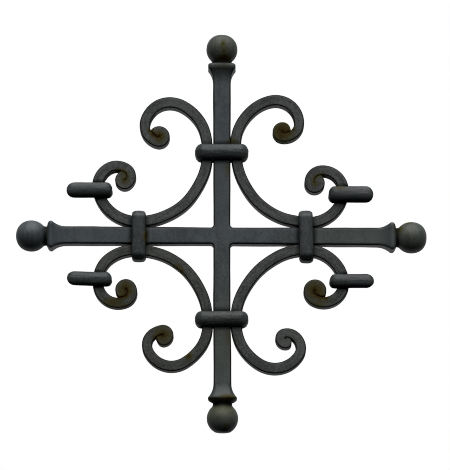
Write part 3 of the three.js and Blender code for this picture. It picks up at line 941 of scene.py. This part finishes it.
def section_object(name, corners, rounds, arrises):
    mesh = bpy.data.meshes.new(name)
    mesh.from_pydata([(*c, 0) for c in corners], [], [])
    bend = [(*r, 0) for r in rounds]
    mesh.attributes.new("round", "FLOAT_VECTOR", "POINT").data.foreach_set("vector", np.ravel(bend))
    mesh.attributes.new("arris", "FLOAT", "POINT").data.foreach_set("value", arrises)
    made = bpy.data.objects.new(name, mesh)
    scene.collection.objects.link(made)
    return made


def flat_bar_section(flats, edge_steps):
    """flats holds the steps along the narrow and the broad sides."""
    corners, rounds = [], []
    for quarter, here in enumerate(CORNERS):
        there = CORNERS[(quarter + 1) % 4]
        for i in range(edge_steps + 1):
            a = math.pi / 2 * (quarter + i / edge_steps)
            corners.append(here)
            rounds.append((math.cos(a), math.sin(a)))
        steps = flats[quarter % 2]
        for i in range(1, steps):
            t = i / steps
            corners.append((here[0] + (there[0] - here[0]) * t, here[1] + (there[1] - here[1]) * t))
            rounds.append(rounds[-1])
    return section_object("flat_bar_section", corners, rounds, [2 * abs(x * y) for x, y in rounds])


def half_round_section(arc_steps, back_steps, fullness):
    """fullness 2 is a half ellipse, and more makes the crown flatter."""
    turn = np.linspace(-math.pi / 2, math.pi / 2, arc_steps + 1)
    bulge = [(abs(math.cos(a)) ** (2 / fullness), abs(math.sin(a)) ** (2 / fullness)) for a in turn]
    corners = [(x, math.copysign(y, a)) for (x, y), a in zip(bulge, turn)]
    corners += [(0.0, 1 - 2 * i / back_steps) for i in range(1, back_steps)]
    arrises = [float(smooth((abs(y) - BAND_ARRIS) / (1 - BAND_ARRIS))) for x, y in corners]
    return section_object("half_round_section", corners, [(0, 0)] * len(corners), arrises)


flat_bar = flat_bar_section(flats=(8, 12), edge_steps=5)
half_round = half_round_section(arc_steps=26, back_steps=6, fullness=ROUND_FULL)
flat_round = half_round_section(arc_steps=26, back_steps=6, fullness=FLAT_FULL)
print("section points:", len(flat_bar.data.vertices), len(half_round.data.vertices))

# %% Forge a piece
def forged(name, stations, section, finish, edge, dent, dent_size, seed):
    """stations: rows of point, across, deep (mm and unit vectors), half across and half deep."""
    spots, across, deep, half_across, half_deep = map(np.array, zip(*stations))
    mesh = bpy.data.meshes.new(name)
    mesh.from_pydata((spots * MM).tolist(), [], [])
    for key, rows in (("across", across), ("deep", deep)):
        mesh.attributes.new(key, "FLOAT_VECTOR", "POINT").data.foreach_set("vector", rows.ravel())
    run = np.append(0, np.cumsum(np.linalg.norm(np.diff(spots, axis=0), axis=1)))
    for key, rows in (("half_across", half_across), ("half_deep", half_deep), ("run", run)):
        mesh.attributes.new(key, "FLOAT", "POINT").data.foreach_set("value", rows * MM)
    line = bpy.data.objects.new(name + "_line", mesh)
    scene.collection.objects.link(line)
    modifier = line.modifiers.new("forge", "NODES")
    modifier.node_group = forge
    values = {"Section": section, "Edge": edge * MM, "Dent Height": dent * MM, "Dent Size": dent_size * MM}
    values.update({"Seed": float(seed), "Finish": finish})
    for item in forge.interface.items_tree:
        if item.in_out == "INPUT" and item.name in values:
            modifier[item.identifier] = values[item.name]
    made = line.evaluated_get(bpy.context.evaluated_depsgraph_get())
    solid = bpy.data.meshes.new_from_object(made)
    solid.name = name
    line.modifiers.remove(modifier)
    bpy.data.objects.remove(line)
    return solid


print("inputs of the forge:", [i.name for i in forge.interface.items_tree if i.in_out == "INPUT"])

# %% [markdown]
# ## The scrolls
# Each scroll is a flat bar bent by hand: from its seat on the upright it runs out to a crown volute and
# back along the crossbar to a flank volute. A spline through many points would do, but tangent arcs, a
# radius and a sweep each, are how a smith would name the bends, and the four scrolls can differ as the real
# ones do. Where the hand strayed from the arc, sway nudges the line: a place along it, up from the seat or
# down for the flank, how far the nudge spreads, and its moves towards the upright and outwards. One scroll
# has a burr that touches the upright. The pairs are for the crown and the flank: the eyes' radii, how far
# the blunt tip gapes, and the strength and spread of the rust. width is the bar's, then its tip's.

# %% Bends of the four scrolls
SCROLL_DEPTH = 20.0
SCROLL_EDGE = 1.7
PACE = 2.2
PACE_TURN = 0.13
TAPER = 60.0
TIP_ROOM = 0.9
BURR_EDGE = 9.9
# In each scroll, wash tints the whole bar with rust, and grime darkens it evenly: dirt together with
# painted shade, strongest on the lower scrolls.
SCROLLS = {
    "scroll_top_left": {
        "side": -1, "rise": 1, "seat": (17.4, 96.5), "width": (12.9, 11.4),
        "eyes": (12.6, 11.2), "gape": (0, 0),
        "sway": [
            (26, 20, 1.1, 0), (95, 25, -0.7, 0.9),
            (-42, 25, -2.2, 0), (-106, 20, 0, -1.4), (-228, 16, 0, 1.2),
        ],
        "rust": ((1.25, 9), (0.85, 8)), "wash": 0.06, "grime_and_shade": 0.06,
        "crown": [(104.5, 17), (48.5, 45.5), (31.5, 95), (20.5, 97)],
        "flank": [(101.5, 5.5), (72.5, 63.5), (145.5, 12), (46.5, 87.5), (23.5, 127), (11, 118.5)],
    },
    "scroll_top_right": {
        "side": 1, "rise": 1, "seat": (17.4, 98), "width": (12.6, 11.0),
        "eyes": (11.6, 12), "gape": (1.6, 0),
        "sway": [
            (26, 20, 2.7, 0), (158, 14, 1.0, 0),
            (-42, 25, -1.7, 0), (-99, 20, 0, -2.0),
        ],
        "rust": ((1.4, 15), (0.7, 7)), "wash": 0.1, "grime_and_shade": 0.06, "burr": (104, 117.3),
        "crown": [(97.5, 21.5), (47, 55), (28, 104.5), (16.5, 103)],
        "flank": [(112, 5), (73, 61.5), (164.5, 12.5), (40.5, 89), (25, 105), (15, 90)],
    },
    "scroll_bottom_left": {
        "side": -1, "rise": -1, "seat": (17.2, 97), "width": (12.5, 11.6),
        "eyes": (12.4, 12.5), "gape": (3.3, 2.5),
        "sway": [
            (26, 20, 2.1, 0), (122, 16, -1.4, -1.0), (145, 8, 0.6, 0),
            (-42, 25, -1.4, 0), (-108, 26, 0, -1.8), (-172, 22, -1.2, -1.0),
        ],
        "rust": ((1.2, 12), (1.25, 11)), "wash": 0.22, "grime_and_shade": 0.2,
        "crown": [(74, 26), (50.5, 33.5), (29, 86), (19.5, 114)],
        "flank": [(82, 7), (76, 66.5), (156.5, 11), (40.5, 90.5), (23.5, 118.5), (12, 99)],
    },
    "scroll_bottom_right": {
        "side": 1, "rise": -1, "seat": (16.7, 96.5), "width": (13.0, 12.0),
        "eyes": (12.0, 13.4), "gape": (5, 0),
        "sway": [
            (26, 20, 1.1, 0), (150, 16, 0.4, -1.3),
            (-42, 25, -2.0, 0), (-98, 24, 0, -2.9),
        ],
        "rust": ((0.25, 8), (1.38, 12)), "wash": 0.14, "grime_and_shade": 0.12,
        "crown": [(82, 21.5), (52.5, 40), (33.5, 84.5), (16.5, 133)],
        "flank": [(79, 2), (72, 58), (155, 14.5), (43.5, 91.5), (23.5, 134), (12, 63.5)],
    },
}


def bend_run(x, z, heading, bends, turn):
    """Walks a chain of tangent bends and returns rows of x, z and heading."""
    rows = [(x, z, heading)]
    for radius, sweep in bends:
        steps = math.ceil(radius * math.radians(sweep) / min(PACE, radius * PACE_TURN))
        step = turn * math.radians(sweep) / steps
        chord = 2 * radius * math.sin(abs(step) / 2)
        for _ in range(steps):
            x += chord * math.cos(heading + step / 2)
            z += chord * math.sin(heading + step / 2)
            heading += step
            rows.append((x, z, heading))
    return np.array(rows)


print("scrolls:", list(SCROLLS))

# %% [markdown]
# Both ends are rolled tight until the bar closes on itself, which leaves a solid eye with one fine curved
# slit. A plain disc would lose the slit, so the eye is worked out from its own centre. Going round, the
# bar's outer side keeps the eye's radius until it meets the inner side of the incoming bar, then stays a
# slit's width inside it and thins out to a point. Some tips were left blunt: there the outer side draws in
# before it meets the bar, and the notch beside the eye gapes wider.

# %% The rolled eye
SLIT = 0.06
SLIT_SEEN = 2
EYE_HOLE = 0.12
HOLE_TURN = 1.6
EYE_LAP = math.radians(40)
EYE_STEP = 0.12
THINNEST = 0.5
NOTCH = 14.0
NO_HIT = 1e3
TIP_TURN = 6.1
GAPE_FROM = 3.2
GAPE_TURN = 1.2


def room_along(line, ray):
    """How far a ray from the origin runs before it meets a line of points."""
    ahead, beside = line @ ray, line @ np.array([-ray[1], ray[0]])
    hits = [NO_HIT]
    for i in np.flatnonzero(beside[:-1] * beside[1:] < 0):
        t = beside[i] / (beside[i] - beside[i + 1])
        hits.append(ahead[i] + (ahead[i + 1] - ahead[i]) * t)
    return min(h for h in hits if h > 0)


def rolled_eye(middle, out, half, eye, gape, turn):
    """Rows of point, across and half width that roll up an end, the eye's centre, slit and notch wall."""
    width = 2 * half[-1]
    centre = middle[-1] - out[-1] * (eye - half[-1])
    inner = middle - out * half[:, None] - centre
    start = math.atan2(out[-1][1], out[-1][0])
    rows, slit = [], []
    for phi in np.arange(EYE_STEP, 2 * math.pi, EYE_STEP):
        across = np.array([math.cos(start + turn * phi), math.sin(start + turn * phi)])
        near = room_along(inner, across) - SLIT
        hole = EYE_HOLE + (eye - width - EYE_HOLE) * (1 - smooth(phi / HOLE_TURN))
        edge = eye - gape * smooth((phi - GAPE_FROM) / GAPE_TURN)
        thick = max(0.0, (min(edge, near) - hole) / 2)
        if near < edge + SLIT_SEEN:
            slit.append(centre + across * near)
        if thick < THINNEST or phi > TIP_TURN:
            thick = 0.0
        rows.append((centre + across * (hole + thick), across, thick))
        if thick == 0.0:
            break
    reach = np.hypot(*inner.T)
    wall = centre + inner[(reach > eye) & (reach < eye + NOTCH)]
    return rows, centre, slit, wall


print("an eye is rolled in steps of", round(math.degrees(EYE_STEP), 1), "degrees")

# %% Line of a whole scroll
def swayed(line, gone, nudges):
    """Nudges a line. A nudge is a place along it, a spread, and moves towards the upright and outwards."""
    for place, spread, towards, outwards in nudges:
        line = line + np.outer(np.exp(-(((gone - place) / spread) ** 2)), (towards, outwards))
    return line


def directions(line):
    step = np.gradient(line, axis=0)
    return np.arctan2(step[:, 1], step[:, 0])


def scroll_line(scroll):
    """The line from eye to eye as rows of point, across and half width, and both eyes' marks."""
    wide, narrow = scroll["width"]
    seat_x, seat_z = scroll["seat"]
    halves, eyes, slits, walls = [], [], [], []
    ends = zip((scroll["crown"], scroll["flank"]), (1, -1), scroll["eyes"], scroll["gape"])
    for bends, turn, eye, gape in ends:
        run = bend_run(-seat_x, seat_z, turn * math.pi / 2, bends, turn)
        gaps = np.hypot(*np.diff(run[:, :2], axis=0).T)
        middle = swayed(run[:, :2], turn * np.append(0, np.cumsum(gaps)), scroll["sway"])
        heading = run[:, 2] + directions(middle) - directions(run[:, :2])
        out = turn * np.stack([np.sin(heading), -np.cos(heading)], 1)
        left = np.append(np.cumsum(gaps[::-1])[::-1], 0) + EYE_LAP * (eye - narrow / 2)
        tip = min(narrow, eye - TIP_ROOM)
        half = (tip + (wide - tip) * np.minimum(1, left / TAPER)) / 2
        if turn > 0 and "burr" in scroll:
            low, high = scroll["burr"]
            held = (middle[:, 1] > low) & (middle[:, 1] < high)
            extra = np.where(held, -middle[:, 0] - half - BURR_EDGE, 0) / 2
            middle, half = middle + out * extra[:, None], half + extra
        rows = list(zip(middle, out, half))
        roll, centre, slit, wall = rolled_eye(middle, out, half, eye, gape, turn)
        halves.append(rows + roll)
        eyes.append(centre)
        slits.append(slit)
        walls.append(wall)
    line = halves[0][::-1] + halves[1][1:]
    return line, eyes, slits, walls


SCROLL_LINES = {name: scroll_line(scroll) for name, scroll in SCROLLS.items()}
for name, (line, _, slits, _) in SCROLL_LINES.items():
    print(name, len(line), "stations, slit points", [len(s) for s in slits])

# %% [markdown]
# Rust sits where water stays: along the slit of every eye, in the eye's middle and where a collar or clip
# grips the bar. Those places become the spots of the rust attribute. The slit is darker with dirt in the
# seam together with painted shade, and the notch is darkened with painted shade in its recess.
# The slit and the notch are already known from the rolling, so no place has to be looked up again.

# %% Rust and dark of an eye
THROUGH = 40
EYE_SHARE, MIDDLE_SHARE, EYE_DARK = 0.8, 1.2, 0.35
SLIT_RUST, MIDDLE_RUST, SLIT_DIRT_AND_SHADE = 4.2, 4.5, 1.8
SLIT_FADE = (0.6, 0.3)
NOTCH_REACH, NOTCH_SHADE = (4, 8, 4), 0.95


def scroll_spots(eyes, slits, walls, strengths, put):
    """Spots of rust and of dark at both eyes of a scroll: dark rust in the middle of the rustiest eyes,
    dirt with painted shade along the slit and painted shade in the notch.
    """
    spots, dark = [], []
    for centre, slit, wall, (rust, spread) in zip(eyes, slits, walls, strengths):
        spots.append((put(centre), (spread, THROUGH, spread), EYE_SHARE * rust))
        spots += [(put(p), (SLIT_RUST, THROUGH, SLIT_RUST), rust) for p in slit[::2]]
        spots.append((put(centre), (MIDDLE_RUST, THROUGH, MIDDLE_RUST), MIDDLE_SHARE * rust))
        fade = np.linspace(*SLIT_FADE, len(slit)) * min(1, rust) ** 2
        # Darker along the slit: dirt in the seam together with painted shade.
        dark += [(put(p), (SLIT_DIRT_AND_SHADE, THROUGH, SLIT_DIRT_AND_SHADE), strength) for p, strength in zip(slit, fade)]
        dark.append((put(centre), (spread, THROUGH, spread), EYE_DARK * max(0, rust - 1)))
        # Painted shade in the notch beside the eye and at the slit's mouth.
        dark += [(put(p), NOTCH_REACH, NOTCH_SHADE) for p in [*slit[:2], *wall[::2]]]
    return spots, dark


print("rust reaches", SLIT_RUST, "mm from a slit")

# %% Make the scrolls
DEEP = (0.0, 1.0, 0.0)
EVERYWHERE = (1e4, 1e4, 1e4)
SCROLL_DENT, SCROLL_DENT_SIZE = 0.16, 11
SEED_PACE = 1.3
SEAT_RUST = [
    ((13, -20, 113), (6, 20, 6), 0.7),
    ((-39, -20, -143.3), (5, 14, 6), 1.0),
    ((-128, -20, -80), (14, 20, 9), 0.75),
    ((-115, -20, -84), (12, 20, 6), 0.6),
    ((114, -20, -81), (16, 20, 9), 0.6),
    ((-53, -20, -37.5), (9, 20, 6), 0.75),
    ((-47, -20, -42.5), (3, 14, 3), 1.2),
]
SCROLL_SHADE = [
    ((10.2, MID, 113), (2, 30, 5), 0.9),
    ((102, MID, 20), (32, 30, 14), 0.4),
    ((-62, MID, -152), (34, 30, 13), 0.42),
    ((-118, MID, -80), (20, 30, 9), 0.42),
]
for seed, (name, scroll) in enumerate(SCROLLS.items()):
    side, rise = scroll["side"], scroll["rise"]

    def put(p, side=side, rise=rise):
        return (-side * p[0], MID, rise * p[1])

    line, eyes, slits, walls = SCROLL_LINES[name]
    stations = []
    for p, a, half in line:
        across = (-side * a[0], 0.0, rise * a[1])
        stations.append((put(p), across, DEEP, half, SCROLL_DEPTH / 2))
    dents = {"dent": SCROLL_DENT, "dent_size": SCROLL_DENT_SIZE, "seed": SEED_PACE * seed}
    solid = forged(name, stations, flat_bar, scroll_paint, edge=SCROLL_EDGE, **dents)
    spots, dark = scroll_spots(eyes, slits, walls, scroll["rust"], put)
    spots += [((0, MID, 0), EVERYWHERE, scroll["wash"]), *SEAT_RUST]
    # Dark spots on the scroll: old dirt with painted shadow beside the collars, painted shadow beside the
    # clips and painted shade on the shaded arcs.
    dark += collar_dirt_and_shadow() + clip_shadow() + SCROLL_SHADE
    place_piece(name + "_bar", solid, [name], scroll_paint, spots, dark, scroll["grime_and_shade"])

# %% [markdown]
# ## The collars
# Four short lengths of half-round iron are bent hot round a bar and its two scrolls. A cut ring would not
# show how the iron was bent, so each follows a rounded rectangle, and bending thins it at the corners. The
# two on the crossbar were hammered flatter and take the fuller section. The node's box gives the bundle's
# size, so a collar always closes round what it binds.

# %% Loop of a collar
BAND_BEND = 2.5
BEND_POINTS = 7
BAND_PACE = 1.3
BAND_PLAY = 0.7
BUNDLE_DEEP = SCROLL_DEPTH / 2 + BAND_PLAY


def band_loop(long, deep, bend):
    """Points and outward directions round a rectangle with bent corners, closed on itself."""
    rows = []
    for quarter, (sp, sq) in enumerate(CORNERS):
        for a in np.linspace(quarter, quarter + 1, BEND_POINTS) * math.pi / 2:
            out = (math.cos(a), math.sin(a))
            rows.append((sp * (long - bend) + bend * out[0], sq * (deep - bend) + bend * out[1], *out))
        next_p, next_q = CORNERS[(quarter + 1) % 4]
        end = (next_p * (long - bend) + bend * out[0], next_q * (deep - bend) + bend * out[1])
        start = rows[-1][:2]
        steps = max(2, round(math.dist(start, end) / BAND_PACE))
        for t in np.arange(1, steps) / steps:
            rows.append((start[0] + (end[0] - start[0]) * t, start[1] + (end[1] - start[1]) * t, *out))
    return rows + rows[:1]


print("half depth inside a band:", BUNDLE_DEEP, "mm")

# %% Make the collars
CORNER_THIN = 0.22
COLLAR_DENT, COLLAR_DENT_SIZE, COLLAR_SEED = 0.6, 2.0, 10
UNDER_WIDE, UNDER_DEEP = 999, 99
COLLAR_UNDER, COLLAR_UNDER_SHADE = 4, 0.5
BAND_RUST = [
    ((-90.5, -22, -2), (2.5, 9, 7), 1.0),
    ((-98, MID, -38), (14, 30, 7), 0.8),
    ((0, MID, -99), (60, 60, 12), 0.22),
    ((139, -27, 57), (8, 12, 5), 0.6),
]
for seed, (name, collar) in enumerate(COLLARS.items()):
    low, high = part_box(name)
    axis = 0 if collar["upright"] else 2
    start, end = low[axis] / MM + collar.get("trim", 0.0), high[axis] / MM
    middle = (start + end) / 2
    long = (end - start) / 2 - collar["thick"]
    stations = []
    for p, q, out_p, out_q in band_loop(long, BUNDLE_DEEP, BAND_BEND):
        along = collar["at"] + collar["lean"] * p
        y = MID + q
        if collar["upright"]:
            row = ((middle + p, y, along), (out_p, out_q, 0.0), (0.0, 0.0, 1.0))
        else:
            row = ((along, y, middle + p), (0.0, out_q, out_p), (1.0, 0.0, 0.0))
        thin = 1 - CORNER_THIN * (2 * out_p * out_q) ** 2
        stations.append((*row, collar["thick"] * thin, collar["width"] / 2))
    section = half_round if collar["upright"] else flat_round
    dents = {"dent": COLLAR_DENT, "dent_size": COLLAR_DENT_SIZE, "seed": COLLAR_SEED + seed}
    solid = forged(name, stations, section, shaded_band_paint, edge=0.0, **dents)
    # Painted shade along the collar's lower edge.
    below = [((0, MID, low[2] / MM), (UNDER_WIDE, UNDER_DEEP, COLLAR_UNDER), COLLAR_UNDER_SHADE)]
    place_piece(name + "_band", solid, [name], shaded_band_paint, BAND_RUST, below)

# %% [markdown]
# ## The clips
# On each outer bend a half-round tongue lies in front of the scroll, hooks round its inner edge and ends
# behind it. It could be a cut piece of collar, but the real one is worked: the front end is round like a
# fingertip, so the section shrinks along a quarter circle, and the hook narrows towards the back.

# %% Line of a clip
CLIP_THICK = 5.8
CLIP_TIP = 9.0
CLIP_RETURN = 8.0
TIP_ROWS, TONGUE_ROWS, FLANK_ROWS, RETURN_ROWS = 10, 18, 10, 9
END_ROUND = 0.3


def clip_line(reach, inner):
    """Rows of x, y, outward direction and scale, from the tip of the tongue to the end behind."""
    rows = []
    for t in np.linspace(0, 1, TIP_ROWS) ** 2:
        rows.append((reach - CLIP_TIP * t, -BUNDLE_DEEP, 0.0, -1.0, math.sqrt(1 - (1 - t) ** 2)))
    bend_x, flank = inner + BAND_BEND, BUNDLE_DEEP - BAND_BEND
    for x in np.linspace(reach - CLIP_TIP, bend_x, TONGUE_ROWS)[1:-1]:
        rows.append((x, -BUNDLE_DEEP, 0.0, -1.0, 1.0))
    for sign, turn in ((-1, 3), (1, 2)):
        for a in np.linspace(turn, turn - 1, BEND_POINTS) * math.pi / 2:
            out = (math.cos(a), math.sin(a))
            rows.append((bend_x + BAND_BEND * out[0], sign * flank + BAND_BEND * out[1], *out, 1.0))
        if sign < 0:
            rows += [(inner, y, -1.0, 0.0, 1.0) for y in np.linspace(-flank, flank, FLANK_ROWS)[1:-1]]
    for t in np.linspace(0, 1, RETURN_ROWS)[1:]:
        scale = math.sqrt(max(0.0, 1 - max(0.0, (t - 1 + END_ROUND) / END_ROUND) ** 2))
        rows.append((bend_x + CLIP_RETURN * t, BUNDLE_DEEP, 0.0, 1.0, scale))
    return rows


print("a clip is", CLIP_THICK, "mm thick, with a round tip of", CLIP_TIP, "mm")

# %% Make the clips
CLIP_TAPER = 0.32
CLIP_DENT, CLIP_DENT_SIZE, CLIP_SEED = 0.45, 2.2, 20
LIFT_FROM = 16
CLIP_LIT, CLIP_UNDER_SHADE = 12, 0.9
for seed, (name, clip) in enumerate(CLIPS.items()):
    low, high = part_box(name)
    side = clip["side"]
    reach = (high[0] if side > 0 else -low[0]) / MM
    inner = (low[0] if side > 0 else -high[0]) / MM + CLIP_THICK - clip.get("grip", 0.0)
    stations = []
    for x, y, out_x, out_y, scale in clip_line(reach, inner):
        past = max(0.0, x - inner - LIFT_FROM) / (reach - inner - LIFT_FROM)
        spot = (side * x, MID + y, clip["at"] + clip["lift"] * past)
        across = (side * out_x, out_y, 0.0)
        wide = clip["width"] / 2 * scale * (1 - CLIP_TAPER * smooth((y / BUNDLE_DEEP + 1) / 2))
        stations.append((spot, across, (0.0, 0.0, 1.0), CLIP_THICK * scale, wide))
    dents = {"dent": CLIP_DENT, "dent_size": CLIP_DENT_SIZE, "seed": CLIP_SEED + seed}
    solid = forged(name, stations, half_round, shaded_band_paint, edge=0.0, **dents)
    # Painted shade on the clip's lower part, reaching further on wider clips.
    below = [((0, MID, low[2] / MM), (UNDER_WIDE, UNDER_DEEP, clip["width"] - CLIP_LIT), CLIP_UNDER_SHADE)]
    place_piece(name + "_band", solid, [name], shaded_band_paint, BAND_RUST, below)

# %% [markdown]
# ## Last measure
# The helper sections go, because they are no part of the cross. The box of the dressed cross is set beside
# the box of the solids: looks may change a surface, but not the size of the object.

# %% Write the sizes
for helper in (flat_bar, half_round, flat_round):
    bpy.data.objects.remove(helper)
low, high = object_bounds()
print("visual size in mm:", [round((b - a) / MM, 1) for a, b in zip(low, high)])
